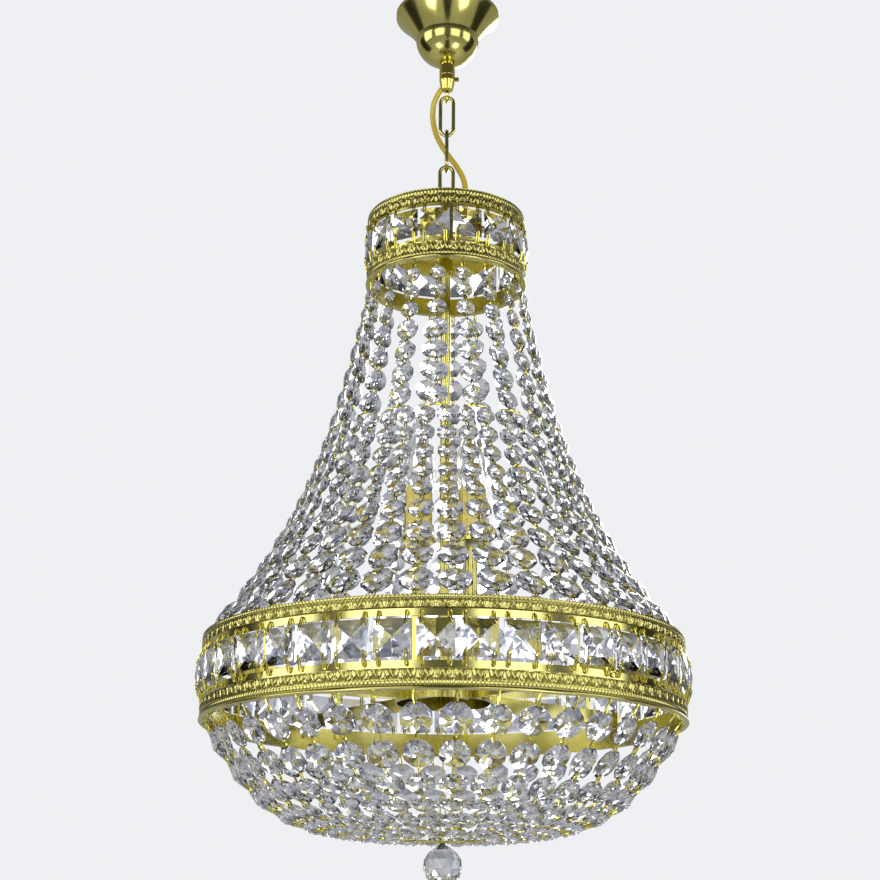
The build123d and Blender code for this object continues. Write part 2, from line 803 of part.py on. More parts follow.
stem_top = cup_top + 6.0
stem_foot = hub_top - hub_plate - lamp_nut_height - 2.0
save_group(at_lamps(pipe(tube_radius, tube_bore, stem_top, stem_foot)), "lamp_stems")

lamp_nut = hex_nut(lamp_nut_flats, lamp_nut_height, tube_hole)
lamp_nut_feet = [hub_top, hub_top - hub_plate - lamp_nut_height, cup_top - cup_thick - lamp_nut_height]
save_group([nut for foot in lamp_nut_feet for nut in at_lamps(Pos(0, 0, foot) * lamp_nut)], "lamp_stem_nuts")

cup_foot = cup_top - cup_thick
cup_profile = [
    (tube_hole, cup_top), (cup_radius - cup_wall, cup_top), (cup_radius - cup_wall, cup_top + cup_rim),
    (cup_radius, cup_top + cup_rim), (cup_radius, cup_foot + 1), (cup_radius - 2, cup_foot),
    (tube_hole, cup_foot),
]
save_group(at_lamps(turned(cup_profile)), "candle_cups")

holder_top = cup_top + holder_height
socket_floor = holder_top - holder_socket_depth
with BuildPart() as lamp_holder:
    add(pipe(holder_radius, lamp_wire_radius + 0.5, holder_top, cup_top))
    with Locations((0, 0, holder_top)):
        Cylinder(cap_radius + cap_socket_gap, holder_socket_depth, align=DOWN, mode=Mode.SUBTRACT)
    with Locations((0, 0, cup_top)):
        Cylinder(tube_hole, 6.0, align=UP, mode=Mode.SUBTRACT)
save_group(at_lamps(lamp_holder.part), "lamp_holders")

sleeve_top = cup_top + sleeve_height
save_group(at_lamps(pipe(sleeve_radius, sleeve_radius - sleeve_wall, sleeve_top, cup_top)), "candle_sleeves")

with BuildPart() as lamp_wire:
    with BuildLine(Plane.XZ) as wire_path:
        FilletPolyline(
            (cord_radius + 0.4, wire_height), (lamp_radius, wire_height), (lamp_radius, socket_floor - 2.0),
            radius=4.0,
        )
    with BuildSketch(wire_path.line ^ 0):
        Circle(lamp_wire_radius)
    sweep(path=wire_path.line)
save_group([radial(turn) * lamp_wire.part for turn in lamp_azimuths], "lamp_wires")

with BuildPart() as bulb_cap:
    with Locations((0, 0, bulb_base)):
        Cylinder(cap_radius, cap_height - 3, align=DOWN)
        Cylinder(bulb_neck_radius, 1.0, align=UP)
        Cylinder(1.5, bulb_height * 0.45, align=UP)
    with Locations((0, 0, bulb_base - cap_height + 3)):
        Cone(2.5, cap_radius - 1, 2.5, align=DOWN)
with BuildPart() as bulb_glass:
    glass_base = bulb_base + 1.0
    glass_points = [
        (bulb_neck_radius, 0.0), (bulb_radius * 0.8, 0.1), (bulb_radius, 0.22), (bulb_radius * 0.84, 0.5),
        (bulb_radius * 0.42, 0.82),
    ]
    with BuildSketch(Plane.XZ):
        with BuildLine():
            outer = [(r, glass_base + share * bulb_height) for r, share in glass_points]
            inner = [(r - bulb_wall, z) for r, z in outer]
            tip = (0, glass_base + bulb_height)
            inner_tip = (0, tip[1] - 2 * bulb_wall)
            Spline(*outer, tip)
            Line(tip, inner_tip)
            Spline(inner_tip, *reversed(inner))
            Line(inner[0], outer[0])
        make_face()
    revolve(axis=Axis.Z)
for number, (cap, glass) in enumerate(zip(at_lamps(bulb_cap.part), at_lamps(bulb_glass.part)), start=1):
    save(cap, f"bulb_{number}_cap")
    save(glass, f"bulb_{number}_glass")

with BuildPart() as tube_end_nut:
    with Locations((0, 0, end_nut_top)):
        Cylinder(end_nut_radius, end_nut_height, align=DOWN)
    fillet(tube_end_nut.faces().sort_by(Axis.Z)[0].edges(), radius=1.5)
    with Locations((0, 0, end_nut_top)):
        Cylinder(tube_hole, end_nut_top - tube_foot, align=DOWN, mode=Mode.SUBTRACT)
    with Locations((0, 0, finial_eye_centre)):
        Torus(finial_eye_radius, finial_eye_wire, rotation=(0, 90, 0))
save(tube_end_nut.part, "tube_end_nut")

# Main ring

save(top_band(ring_radius, ring_top, ring_top_height, ring_plain), "main_top_band")
with BuildPart() as main_bottom_band:
    add(bottom_band(ring_radius, ring_gap_foot, ring_bottom_height, ring_plain))
    for turn in arm_azimuths:
        with Locations(around(ring_radius, turn, arm_screw_height)):
            Cylinder(screw_hole, 12, mode=Mode.SUBTRACT)
save(main_bottom_band.part, "main_bottom_band")
ring_middle = (ring_gap_top + ring_gap_foot) / 2
main_struts = struts(
    ring_struts, ring_radius, ring_gap_top + 6.0, ring_gap_foot - 10.0, ring_gap_azimuth - 9
)
save_group(main_struts, "main_struts")
save_group(
    square_ring(ring_square, ring_square_count, ring_square_radius, ring_middle, ring_gap_azimuth),
    "main_squares",
)
save_group(
    square_pins(
        ring_square, ring_square_count, ring_radius, ring_square_radius, ring_gap_top, ring_gap_foot,
        ring_gap_azimuth,
    ),
    "main_square_pins",
)

# Crystal strings of the tent: one under each crown hook, which parts into two

hook_radius = crown_radius - band_wall - band_flange / 2
tent_line = Edge.make_bezier(
    (hook_radius, 0, crown_foot - seat_gap),
    (tent_shoulder[0], 0, crown_foot + tent_shoulder[1]),
    (tent_skirt[0], 0, ring_top + tent_skirt[1]),
    (ring_radius - tent_foot_inset, 0, ring_top + seat_gap),
)
tent_length = tent_line.length
double_turn = 90 / crown_hook_count


def tent_places(start, widths, wire, offset):
    """Places of one string's crystals from a start distance, for every crown hook, and the end distance."""
    rows = []
    distance = start
    for width in widths:
        middle = distance + width / 2
        twist = tent_twist * middle / tent_length
        hooks = evenly(crown_hook_count, crown_hook_azimuth)
        rows.append([along(tent_line, middle, hook + twist + offset) for hook in hooks])
        distance += width + wire
    return rows, distance


def string_pins(rows, widths):
    """Pins between each crystal and the next one down its string."""
    pins = []
    for upper, lower, upper_width, lower_width in zip(rows, rows[1:], widths, widths[1:]):
        for place, next_place in zip(upper, lower):
            start = edge_point(place, upper_width / 2)
            end = edge_point(next_place, -lower_width / 2)
            pins.append(string_pin(start, end, outward_at(place)))
    return pins


tent_widths = tent_single_widths + tent_double_small_widths + tent_double_large_widths
tent_wires = tent_first_wire + tent_wire * (len(tent_widths) - 1) + tent_last_wire
tent_share = (tent_length - tent_wires) / sum(tent_widths)
single_widths = [width * tent_share for width in tent_single_widths]
double_widths = [width * tent_share for width in tent_double_small_widths + tent_double_large_widths]
print("tent length", round(tent_length, 1), "widths times", round(tent_share, 4))
single_rows, split_distance = tent_places(tent_first_wire, single_widths, tent_wire, 0)
left_rows, _ = tent_places(split_distance, double_widths, tent_wire, -double_turn)
right_rows, _ = tent_places(split_distance, double_widths, tent_wire, double_turn)

single_crystals = []
for row, width in zip(single_rows, single_widths):
    crystal = cut_octagon(width)
    single_crystals += [place * crystal for place in row]
save_group(single_crystals, "tent_single_crystals")

small_crystals = []
large_crystals = []
for index, width in enumerate(double_widths):
    crystal = cut_octagon(width)
    placed = [place * crystal for place in left_rows[index] + right_rows[index]]
    if index < len(tent_double_small_widths):
        small_crystals += placed
    else:
        large_crystals += placed
save_group(small_crystals, "tent_double_small_crystals")
save_group(large_crystals, "tent_double_large_crystals")

tent_pins = string_pins(single_rows, single_widths)
for rows in (left_rows, right_rows):
    tent_pins += string_pins(rows, double_widths)
    for place, next_place in zip(single_rows[-1], rows[0]):
        start = edge_point(place, single_widths[-1] / 2 + fork_gap)
        end = edge_point(next_place, -double_widths[0] / 2 - fork_gap)
        tent_pins.append(string_pin(start + (end - start) * fork_share, end, outward_at(place)))
    for place in rows[-1]:
        start = edge_point(place, double_widths[-1] / 2)
        twist_place = edge_point(place, double_widths[-1] / 2 + 6.0)
        foot = Vector(twist_place.X, twist_place.Y, 0).normalized() * (ring_radius - tent_foot_inset)
        tent_pins.append(string_pin(start, foot + Vector(0, 0, ring_top + slant_gap), outward_at(place)))
for place in single_rows[0]:
    end = edge_point(place, -single_widths[0] / 2)
    hook = Vector(end.X, end.Y, 0).normalized() * hook_radius + Vector(0, 0, crown_foot)
    tent_pins.append(string_pin(hook, end, outward_at(place)))
save_group(tent_pins, "tent_pins")

# Crystal strings of the basket: one under each gap of the main ring, joined in pairs near the bottom

basket_line = Edge.make_bezier(
    (ring_radius - band_wall - band_flange / 2, 0, ring_foot - seat_gap),
    (basket_belly[0], 0, ring_foot + basket_belly[1]),
    (basket_floor_reach, 0, basket_foot),
    (bottom_ring_radius, 0, basket_foot),
)
basket_widths = basket_outer_widths + basket_inner_widths
basket_wires = basket_first_wire + sum(basket_outer_wires) + basket_last_wire
basket_wires += basket_inner_wire * (len(basket_inner_widths) - 1)
basket_share = (basket_line.length - basket_wires) / sum(basket_widths)
outer_widths = [width * basket_share for width in basket_outer_widths]
inner_widths = [width * basket_share for width in basket_inner_widths]
print("basket length", round(basket_line.length, 1), "widths times", round(basket_share, 4))

outer_rows = []
outer_azimuths = evenly(ring_square_count, ring_gap_azimuth)
distance = basket_first_wire
for width, wire in zip(outer_widths, basket_outer_wires):
    outer_rows.append([along(basket_line, distance + width / 2, turn) for turn in outer_azimuths])
    distance += width + wire
inner_rows = []
inner_azimuths = evenly(ring_square_count // 2, ring_gap_azimuth + 180 / ring_square_count)
for width in inner_widths:
    inner_rows.append([along(basket_line, distance + width / 2, turn) for turn in inner_azimuths])
    distance += width + basket_inner_wire

outer_crystals = []
for row, width in zip(outer_rows, outer_widths):
    crystal = cut_octagon(width)
    outer_crystals += [place * crystal for place in row]
save_group(outer_crystals, "basket_outer_crystals")
inner_crystals = []
for row, width in zip(inner_rows, inner_widths):
    crystal = cut_octagon(width)
    inner_crystals += [place * crystal for place in row]
save_group(inner_crystals, "basket_inner_crystals")

basket_pins = string_pins(outer_rows, outer_widths) + string_pins(inner_rows, inner_widths)
for place in outer_rows[0]:
    end = edge_point(place, -outer_widths[0] / 2)
    hook = Vector(end.X, end.Y, 0).normalized() * (ring_radius - band_wall - band_flange / 2)
    basket_pins.append(string_pin(hook + Vector(0, 0, ring_foot - slant_gap), end, outward_at(place)))
for index, place in enumerate(outer_rows[-1]):
    joined = inner_rows[0][index // 2]
    start = edge_point(place, outer_widths[-1] / 2 + fork_gap)
    end = edge_point(joined, -inner_widths[0] / 2 - fork_gap)
    basket_pins.append(string_pin(start, end + (start - end) * fork_share, outward_at(place)))
for place in inner_rows[-1]:
    start = edge_point(place, inner_widths[-1] / 2)
    seat = Vector(start.X, start.Y, 0).normalized() * (bottom_ring_radius + bottom_ring_wire)
    basket_pins.append(string_pin(start, seat + Vector(0, 0, basket_foot), outward_at(place)))
save_group(basket_pins, "basket_pins")

with BuildPart() as bottom_ring:
    with Locations((0, 0, basket_foot)):
        Torus(bottom_ring_radius, bottom_ring_wire)
save(bottom_ring.part, "bottom_ring")

# Finial

finial_pieces = []
top = finial_pivot + finial_eye_wire + finial_link_wire + running_gap / 2
for index in range(finial_links):
    sideways = Vector(1, 0, 0) if index % 2 == 0 else Vector(0, 1, 0)
    link_plane = Plane(origin=(0, 0, top), x_dir=sideways, z_dir=sideways.cross(Vector(0, 0, 1)))
    finial_pieces.append(wire_link(finial_link_length, finial_link_width, finial_link_wire, link_plane))
    ball_pivot = top - finial_link_length + 2 * finial_link_wire
    top = ball_pivot + 2 * finial_link_wire + running_gap / 2
save_group(finial_pieces, "finial_chain")

ball_eye_top = ball_pivot + finial_link_wire + finial_eye_wire + running_gap / 2
ball_eye_centre = ball_eye_top - finial_eye_radius
ball_cap_top = ball_eye_centre - finial_eye_radius
ball_top = ball_cap_top - ball_cap_height
with BuildPart() as finial_cap:
    with Locations((0, 0, ball_eye_centre)):
        Torus(finial_eye_radius, finial_eye_wire, rotation=(0, 90, 0))
    with Locations((0, 0, ball_cap_top)):
        Cylinder(ball_cap_radius, ball_cap_height, align=DOWN)
save(finial_cap.part, "finial_cap")
ball_centre = ball_top - ball_point_height
save(Pos(0, 0, ball_centre) * cut_ball(ball_radius, ball_point_height), "finial_ball")

print("joints at", eye_wire_height, link_tops[1:], chain_foot, finial_pivot, ball_pivot)
print("crown", crown_top, crown_foot, "ring", ring_top, ring_foot, "lowest", ball_centre - ball_radius)
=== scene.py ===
import json
from math import atan2, cos, pi, radians, sin, sqrt

import bmesh
import bpy
import numpy as np
from mathutils import Matrix, Vector

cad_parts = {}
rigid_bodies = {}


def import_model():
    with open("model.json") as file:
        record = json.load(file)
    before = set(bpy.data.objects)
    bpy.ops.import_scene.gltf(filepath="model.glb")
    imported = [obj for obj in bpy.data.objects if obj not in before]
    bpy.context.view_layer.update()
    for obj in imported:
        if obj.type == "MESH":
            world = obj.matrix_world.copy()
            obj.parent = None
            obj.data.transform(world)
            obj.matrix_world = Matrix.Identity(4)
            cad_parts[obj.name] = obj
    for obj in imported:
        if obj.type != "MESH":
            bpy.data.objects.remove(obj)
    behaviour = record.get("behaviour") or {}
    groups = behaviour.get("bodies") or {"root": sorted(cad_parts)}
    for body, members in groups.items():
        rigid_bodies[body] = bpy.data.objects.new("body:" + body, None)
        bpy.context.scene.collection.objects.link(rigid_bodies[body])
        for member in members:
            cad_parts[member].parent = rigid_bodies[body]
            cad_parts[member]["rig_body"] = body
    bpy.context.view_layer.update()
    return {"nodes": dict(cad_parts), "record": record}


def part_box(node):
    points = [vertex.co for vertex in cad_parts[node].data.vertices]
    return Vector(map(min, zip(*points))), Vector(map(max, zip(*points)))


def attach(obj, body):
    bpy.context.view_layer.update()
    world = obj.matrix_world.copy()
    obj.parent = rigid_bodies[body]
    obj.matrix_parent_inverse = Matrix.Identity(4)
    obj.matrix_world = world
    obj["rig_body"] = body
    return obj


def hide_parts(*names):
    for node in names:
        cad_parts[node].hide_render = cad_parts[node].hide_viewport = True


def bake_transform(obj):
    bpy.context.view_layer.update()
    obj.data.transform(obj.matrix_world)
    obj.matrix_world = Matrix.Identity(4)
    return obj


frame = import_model()
nodes = frame["nodes"]
slot_of = {part["node"]: part["material_slot"] for part in frame["record"]["subparts"]}
tilts = np.random.default_rng(7)

# Sizes in metres
mm = 0.001
main_periods = 100
crown_periods = 36
columns_per_period = 20
relief_rows = 18
main_plain = 6.8 * mm
crown_plain = 3.0 * mm
band_lip = 2.6 * mm
band_wall = 1.2 * mm
band_flange = 4.0 * mm
band_relief = 1.3 * mm
lip_roll = 0.9 * mm
wire_radius = 2.0 * mm
pin_wire = 0.7 * mm
pin_hold = 2.0 * mm
pin_loop = 1.84 * mm
pin_waist = 1.265 * mm
clip_wire = 0.805 * mm
clip_reach = 6.6 * mm
clip_drop = 0.6 * mm
clip_waist = 1.0 * mm
clip_swell = 1.7 * mm
clip_stand = 0.9 * mm
square_front = 3.6 * mm
square_back = 5.6 * mm
square_rim = 0.5 * mm
canopy_rim_height = 4.0
canopy_crease = (34.5, -30.0)
canopy_floor = (12.0, -60.0)
canopy_flare_bow = -1.2
canopy_dome_bow = 7.0
canopy_hole_radius = 5.6
canopy_wall = 1.0
weld_swelling = 1.09
sleeve_ribs = 40
rib_depth = 0.3 * mm
sleeve_wall = 1.0 * mm
sleeve_plain = 1.2 * mm
filament_height = 18 * mm
filament_wire = 0.25 * mm
ball_point_radius = 2.2 * mm
ball_rows = ((-90, 1), (-62, 7), (-34, 11), (-7, 14), (20, 14), (42, 10))
cord_diameter = 6.0 * mm
cord_route = [
    (-6.652, 0, -93.5),
    (-13.5, 1.0, -103.5),
    (-16.5, 6.0, -121.0),
    (-12.5, 14.5, -141.0),
    (-1.0, 19.0, -160.0),
    (11.5, 15.5, -179.0),
    (19.0, 7.0, -198.0),
    (21.0, 1.0, -217.0),
    (20.0, 0, -236.0),
    (20.0, 0, -256.3),
]


# Materials


def new_material(name):
    """Material with its node tree and main shader."""
    material = bpy.data.materials.new(name)
    material.use_nodes = True
    tree = material.node_tree
    return material, tree, tree.nodes["Principled BSDF"]


def add_node(tree, kind, **values):
    """Shader node with its input sockets and properties set."""
    node = tree.nodes.new(kind)
    for name, value in values.items():
        if name in node.inputs:
            node.inputs[name].default_value = value
        else:
            setattr(node, name, value)
    return node


def ramp(tree, stops):
    """Colour ramp with (position, colour) stops."""
    node = tree.nodes.new("ShaderNodeValToRGB")
    elements = node.color_ramp.elements
    elements[0].position, elements[0].color = stops[0][0], (*stops[0][1], 1)
    elements[1].position, elements[1].color = stops[-1][0], (*stops[-1][1], 1)
    for position, colour in stops[1:-1]:
        elements.new(position).color = (*colour, 1)
    return node


def brushed(name, dark, light, roughness, metallic=1.0, grain=900, depth=0.03, coat=0.0):
    """Metal or plastic with a faint cloudy colour, uneven gloss and a fine surface grain."""
    material, tree, shader = new_material(name)
    place = tree.nodes.new("ShaderNodeTexCoord")
    cloud = add_node(tree, "ShaderNodeTexNoise", Scale=38.0, Detail=4.0, Roughness=0.6)
    colours = ramp(tree, [(0.3, dark), (0.7, light)])
    gloss = add_node(tree, "ShaderNodeMapRange")
    gloss.inputs["To Min"].default_value = roughness * 0.7
    gloss.inputs["To Max"].default_value = roughness * 1.4
    fine = add_node(tree, "ShaderNodeTexNoise", Scale=float(grain), Detail=3.0)
    bump = add_node(tree, "ShaderNodeBump", Strength=depth, Distance=0.0004)
    tree.links.new(place.outputs["Object"], cloud.inputs["Vector"])
    tree.links.new(place.outputs["Object"], fine.inputs["Vector"])
    tree.links.new(cloud.outputs["Fac"], colours.inputs["Fac"])
    tree.links.new(colours.outputs["Color"], shader.inputs["Base Color"])
    tree.links.new(cloud.outputs["Fac"], gloss.inputs["Value"])
    tree.links.new(gloss.outputs["Result"], shader.inputs["Roughness"])
    tree.links.new(fine.outputs["Fac"], bump.inputs["Height"])
    tree.links.new(bump.outputs["Normal"], shader.inputs["Normal"])
    shader.inputs["Metallic"].default_value = metallic
    shader.inputs["Coat Weight"].default_value = coat
    return material


def embossed(name):
    """Stamped brass: bright on the raised leaves, darker and duller between them; the darker colour there is
    painted shade.
    """
    material, tree, shader = new_material(name)
    relief = add_node(tree, "ShaderNodeAttribute", attribute_name="relief")
    # Colour follows the relief: painted shade, darkest in the hollows between the leaves and lighter up to
    # the crests.
    hollow_shade, flank, crest = (0.26, 0.22, 0.045), (0.56, 0.51, 0.15), (0.84, 0.78, 0.29)
    colours = ramp(tree, [(0.0, hollow_shade), (0.35, flank), (1.0, crest)])
    gloss = ramp(tree, [(0.0, (0.34,) * 3), (0.5, (0.2,) * 3), (1.0, (0.14,) * 3)])
    place = tree.nodes.new("ShaderNodeTexCoord")
    fine = add_node(tree, "ShaderNodeTexNoise", Scale=1100.0, Detail=3.0)
    bump = add_node(tree, "ShaderNodeBump", Strength=0.03, Distance=0.0005)
    tree.links.new(relief.outputs["Fac"], colours.inputs["Fac"])
    tree.links.new(relief.outputs["Fac"], gloss.inputs["Fac"])
    tree.links.new(colours.outputs["Color"], shader.inputs["Base Color"])
    tree.links.new(gloss.outputs["Color"], shader.inputs["Roughness"])
    tree.links.new(place.outputs["Object"], fine.inputs["Vector"])
    tree.links.new(fine.outputs["Fac"], bump.inputs["Height"])
    tree.links.new(bump.outputs["Normal"], shader.inputs["Normal"])
    shader.inputs["Metallic"].default_value = 1.0
    return material


def clear(name, ior, tints_and_glints, roughness=0.0):
    """Clear glass whose flat facets each take a colour from the list at random: a faint tint for the bulb
    glass, and painted glints and painted dark reflections for the crystal, standing in for the light that cut
    crystal splits.
    """
    material, tree, shader = new_material(name)
    geometry = tree.nodes.new("ShaderNodeNewGeometry")
    spread = add_node(tree, "ShaderNodeVectorMath", operation="MULTIPLY")
    spread.inputs[1].default_value = (7.3, 5.9, 6.7)
    scatter = add_node(tree, "ShaderNodeTexWhiteNoise", noise_dimensions="4D")
    colours = ramp(tree, tints_and_glints)
    colours.color_ramp.interpolation = "CONSTANT"
    tree.links.new(geometry.outputs["True Normal"], spread.inputs[0])
    tree.links.new(spread.outputs["Vector"], scatter.inputs["Vector"])
    tree.links.new(geometry.outputs["Random Per Island"], scatter.inputs["W"])
    tree.links.new(scatter.outputs["Value"], colours.inputs["Fac"])
    tree.links.new(colours.outputs["Color"], shader.inputs["Base Color"])
    shader.inputs["Transmission Weight"].default_value = 1.0
    shader.inputs["IOR"].default_value = ior
    shader.inputs["Roughness"].default_value = roughness
    return material


# Painted glints and painted dark reflections on the crystal's facets; the lead crystal itself is clear.
crystal_painted_glints = [
    (0.0, (0.97, 0.98, 1.0)),
    (0.36, (0.74, 0.76, 0.9)),
    (0.56, (0.99, 0.99, 0.99)),
    (0.72, (0.5, 0.53, 0.68)),
    (0.84, (1.0, 0.9, 0.68)),
    (0.92, (0.9, 0.93, 1.0)),
]
materials = {
    "polished_brass": brushed("polished_brass_look", (0.62, 0.56, 0.15), (0.78, 0.71, 0.23), 0.15),
    "bright_brass": brushed("bright_brass_look", (0.88, 0.76, 0.14), (0.95, 0.86, 0.24), 0.14),
    "embossed_brass": embossed("embossed_brass_look"),
    "lead_crystal": clear("lead_crystal_look", 1.52, crystal_painted_glints, 0.05),
    "bulb_glass": clear("bulb_glass_look", 1.45, [(0.0, (0.98, 0.98, 0.97)), (1.0, (0.96, 0.97, 0.97))]),
    "candle_gold": brushed("candle_gold_look", (0.7, 0.56, 0.15), (0.84, 0.72, 0.25), 0.26),
    "cord_plastic": brushed(
        "cord_plastic_look", (0.6, 0.44, 0.02), (0.74, 0.56, 0.05), 0.32, 0.0, 400, 0.1, 0.5
    ),
    "steel": brushed("steel_look", (0.5, 0.5, 0.49), (0.66, 0.66, 0.64), 0.3),
    "nickel": brushed("nickel_look", (0.64, 0.63, 0.6), (0.8, 0.79, 0.76), 0.2),
    "white_plastic": brushed("white_plastic_look", (0.76, 0.75, 0.7), (0.85, 0.84, 0.8), 0.45, 0.0, 500, 0.1),
    "wire_plastic": brushed("wire_plastic_look", (0.7, 0.62, 0.42), (0.8, 0.73, 0.54), 0.45, 0.0, 500, 0.1),
}
filament_metal = brushed("filament_look", (0.35, 0.33, 0.3), (0.5, 0.48, 0.44), 0.35)
for name, node in nodes.items():
    for slot in node.material_slots:
        slot.material = materials[slot_of[name]]


# Mesh helpers


def new_object(name, points, faces, material, smooth=None):
    """Mesh object with one material, smooth up to an angle in degrees where one is given."""
    mesh = bpy.data.meshes.new(name)
    mesh.from_pydata([tuple(point) for point in points], [], faces)
    if smooth is not None:
        mesh.shade_smooth()
        mesh.set_sharp_from_angle(angle=radians(smooth))
    mesh.materials.append(material)
    thing = bpy.data.objects.new(name, mesh)
    bpy.context.scene.collection.objects.link(thing)
    return thing


class Shape:
    """Vertices and faces gathered from many small shapes, which become one piece."""

    def __init__(self):
        self.points = []
        self.faces = []
        self.values = []

    def add(self, points, faces, values=None):
        first = len(self.points)
        self.points.extend(tuple(point) for point in points)
        self.faces.extend(tuple(first + corner for corner in face) for face in faces)
        if values is not None:
            self.values.extend(values)

    def piece(self, name, stands_for, smooth=None):
        """Mesh object that rides with a CAD node and takes its place."""
        thing = new_object(name, self.points, self.faces, materials[slot_of[stands_for]], smooth)
        if self.values:
            relief = thing.data.attributes.new("relief", "FLOAT", "POINT")
            relief.data.foreach_set("value", self.values)
        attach(thing, nodes[stands_for]["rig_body"])
        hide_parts(stands_for)


def islands(name):
    """Corner points of each separate solid in a CAD node."""
    mesh = bmesh.new()
    mesh.from_mesh(nodes[name].data)
    bmesh.ops.remove_doubles(mesh, verts=mesh.verts, dist=1e-6)
    found = []
    seen = set()
    for first in mesh.verts:
        if first.index in seen:
            continue
        seen.add(first.index)
        group = [first]
        for vertex in group:
            for edge in vertex.link_edges:
                other = edge.other_vert(vertex)
                if other.index not in seen:
                    seen.add(other.index)
                    group.append(other)
        found.append(np.array([tuple(vertex.co) for vertex in group]))
    mesh.free()
    return found


def unit(vector):
    """Vector of length one."""
    return vector / np.linalg.norm(vector)


def tube(line, radii, sides, closed=False):
    """Round tube along a line of points, as points and faces, with its ends capped unless it is closed."""
    line = np.asarray(line, dtype=float)
    count = len(line)
    if closed:
        courses = np.roll(line, -1, axis=0) - np.roll(line, 1, axis=0)
    else:
        courses = np.gradient(line, axis=0)
    side = np.cross(courses[0], (0.31, 0.87, 0.38))
    points = []
    for index, (centre, course) in enumerate(zip(line, courses)):
        course = unit(course)
        side = unit(side - course * (side @ course))
        other = np.cross(course, side)
        radius = radii[index] if np.ndim(radii) else radii
        for turn in np.arange(sides) * 2 * pi / sides:
            points.append(centre + radius * (cos(turn) * side + sin(turn) * other))
    faces = []
    for index in range(count if closed else count - 1):
        below = (index + 1) % count
        shift = 0
        if closed and below == 0:
            first = np.array(points[:sides])
            last = np.array(points[-sides:])
            gaps = [np.linalg.norm(np.roll(first, -step, axis=0) - last) for step in range(sides)]
            shift = int(np.argmin(gaps))
        for turn in range(sides):
            after = (turn + 1) % sides
            faces.append(
                (
                    index * sides + turn, index * sides + after,
                    below * sides + (after + shift) % sides, below * sides + (turn + shift) % sides,
                )
            )
    if not closed:
        faces.append(tuple(range(sides))[::-1])
        faces.append(tuple((count - 1) * sides + turn for turn in range(sides)))
    return points, faces


def turned(profile, columns):
    """Closed surface of revolution about Z through a list of (radius, height) points."""
    points = []
    for turn in np.arange(columns) * 2 * pi / columns:
        points.extend((radius * cos(turn), radius * sin(turn), height) for radius, height in profile)
    rows = len(profile)
    faces = []
    for column in range(columns):
        beside = (column + 1) % columns
        for row in range(rows):
            above = (row + 1) % rows
            corners = (column * rows + row, beside * rows + row, beside * rows + above, column * rows + above)
            faces.append(corners)
    return points, faces


def wrapped_faces(rows, columns):
    """Faces of a closed ring whose points are listed row by row, each row going once round."""
    faces = []
    for row in range(rows):
        above = (row + 1) % rows
        for column in range(columns):
            beside = (column + 1) % columns
            low, high = row * columns, above * columns
            faces.append((low + column, low + beside, high + beside, high + column))
    return faces


def arc(start, middle, end, steps):
    """Points on the arc through three (radius, height) points."""
    (ax, ay), (bx, by), (cx, cy) = start, middle, end
    scale = 2 * (ax * (by - cy) + bx * (cy - ay) + cx * (ay - by))
    squares = [x * x + y * y for x, y in (start, middle, end)]
    ux = (squares[0] * (by - cy) + squares[1] * (cy - ay) + squares[2] * (ay - by)) / scale
    uy = (squares[0] * (cx - bx) + squares[1] * (ax - cx) + squares[2] * (bx - ax)) / scale
    radius = sqrt((ax - ux) ** 2 + (ay - uy) ** 2)
    first = atan2(ay - uy, ax - ux)
    sweep = (atan2(cy - uy, cx - ux) - first + pi) % (2 * pi) - pi
    return [
        (ux + radius * cos(first + sweep * step / steps), uy + radius * sin(first + sweep * step / steps))
        for step in range(steps + 1)
    ]


# Cut crystals


def octagon_cut(width, half):
    """Octagon with eight kite facets that meet in a point on each face, and eight break facets at the rim."""
    apothem = width / 2
    lean = cos(pi / 8)
    ring = 0.5 * apothem
    girdle = 0.2 * half
    slope = (half - girdle) / apothem
    break_slope = slope * (apothem - ring * lean) / (apothem * lean - ring)
    ring_height = half - slope * ring * lean
    corner_height = ring_height - break_slope * (apothem / lean - ring)
    points = []
    for side in (1, -1):
        points.append((0, 0, side * half))
        for step in range(8):
            turn = pi / 4 * step
            points.append((ring * cos(turn + pi / 8), ring * sin(turn + pi / 8), side * ring_height))
            points.append((apothem * cos(turn), apothem * sin(turn), side * girdle))
            corner = apothem / lean
            points.append((corner * cos(turn + pi / 8), corner * sin(turn + pi / 8), side * corner_height))
    faces = []
    for step in range(8):
        after = (step + 1) % 8
        before = (step - 1) % 8
        kite = (0, 1 + 3 * before, 2 + 3 * step, 1 + 3 * step)
        rim = (1 + 3 * step, 2 + 3 * step, 3 + 3 * step, 2 + 3 * after)
        faces += [kite, rim]
        faces += [tuple(25 + corner for corner in reversed(face)) for face in (kite, rim)]
        for start, end in ((2 + 3 * step, 3 + 3 * step), (3 + 3 * step, 2 + 3 * after)):
            faces.append((start, 25 + start, 25 + end, end))
    return np.array(points), faces


def square_cut(width):
    """Square with four facets that meet in front, and a deeper eight-sided back with a broken slope."""
    edge = width / 2
    front = [(0, 0, square_front)]
    back = [(0, 0, -square_back)]
    outline = []
    inner = []
    for step in range(8):
        turn = pi / 4 * step
        reach = edge if step % 2 == 0 else edge * sqrt(2)
        outline.append((reach * cos(turn), reach * sin(turn)))
        inner_reach = reach * (0.5 if step % 2 == 0 else 0.44)
        depth = 0.62 if step % 2 == 0 else 0.74
        inner.append((inner_reach * cos(turn), inner_reach * sin(turn), -square_back * depth))
    rim = [(x, y, side * square_rim) for side in (1, -1) for x, y in outline]
    points = front + rim + inner + back
    last = len(points) - 1
    faces = []
    for step in range(8):
        after = (step + 1) % 8
        faces.append((0, 1 + step, 1 + after))
        faces.append((1 + after, 1 + step, 9 + step, 9 + after))
        faces.append((9 + after, 9 + step, 17 + step))
        faces.append((9 + after, 17 + step, 17 + after))
        faces.append((17 + after, 17 + step, last))
    return np.array(points), faces


